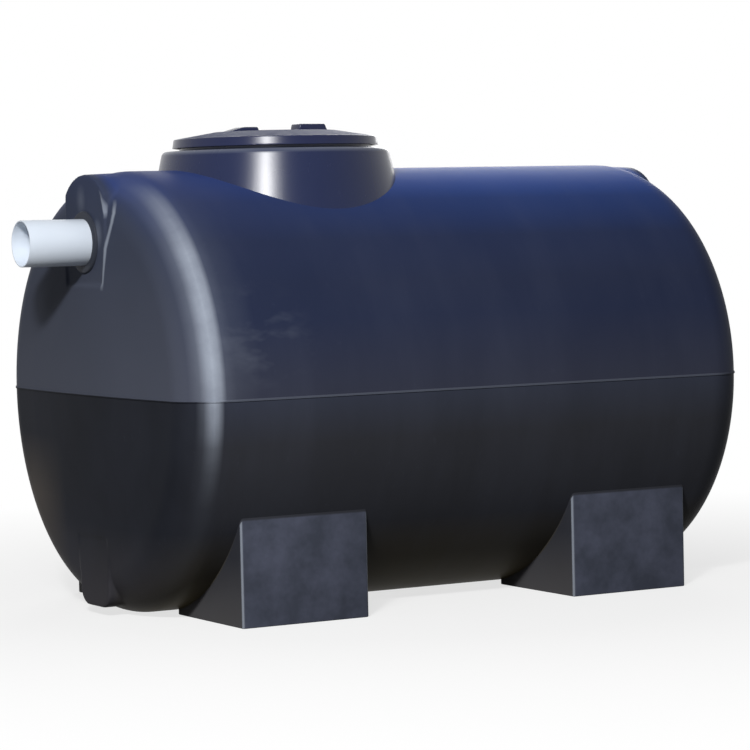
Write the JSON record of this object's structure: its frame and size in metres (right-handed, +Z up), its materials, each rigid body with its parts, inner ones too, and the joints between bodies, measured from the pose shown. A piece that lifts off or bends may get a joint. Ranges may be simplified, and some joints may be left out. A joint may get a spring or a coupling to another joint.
{
  "type": "horizontal septic tank",
  "caption": "Horizontal moulded septic tank with dished ends, hollow feet, a manhole neck with lift-off lid, and inlet and outlet pipe stubs.",
  "frame": {"origin": "on the floor, under the middle of the barrel", "axes": "+X along the tank from the inlet pipe to the outlet pipe, +Y across it, +Z up"},
  "size_m": [1.888, 1.054, 1.161],
  "materials": {
    "tank_upper": "satin",
    "tank_lower": "satin",
    "neck": "satin",
    "lid": "satin",
    "pipe": "smooth",
    "seal": "matte"
  },
  "bodies": {
    "tank": {"barrel_upper": "tank_upper", "barrel_lower": "tank_lower", "inlet_end_upper": "tank_upper", "inlet_end_lower": "tank_lower", "outlet_end_upper": "tank_upper", "outlet_end_lower": "tank_lower", "inlet_seat": "tank_upper", "outlet_seat": "tank_upper", "inlet_pad": "tank_lower", "outlet_pad": "tank_lower", "foot_inlet_front": "tank_lower", "foot_inlet_back": "tank_lower", "foot_outlet_front": "tank_lower", "foot_outlet_back": "tank_lower", "manhole_neck": "neck", "manhole_ring": "neck", "inlet_pipe": "pipe", "outlet_pipe": "pipe", "inlet_seal": "seal", "outlet_seal": "seal"},
    "lid": {"lid_top": "lid", "lid_skirt": "lid", "lid_seal": "seal", "lid_grip_inlet": "lid", "lid_grip_outlet": "lid"}
  },
  "joints": [
    {"name": "lid_lift", "type": "slide", "parent": "tank", "child": "lid", "axis": [0, 0, 1], "range_m": [0, 0.3]}
  ]
}
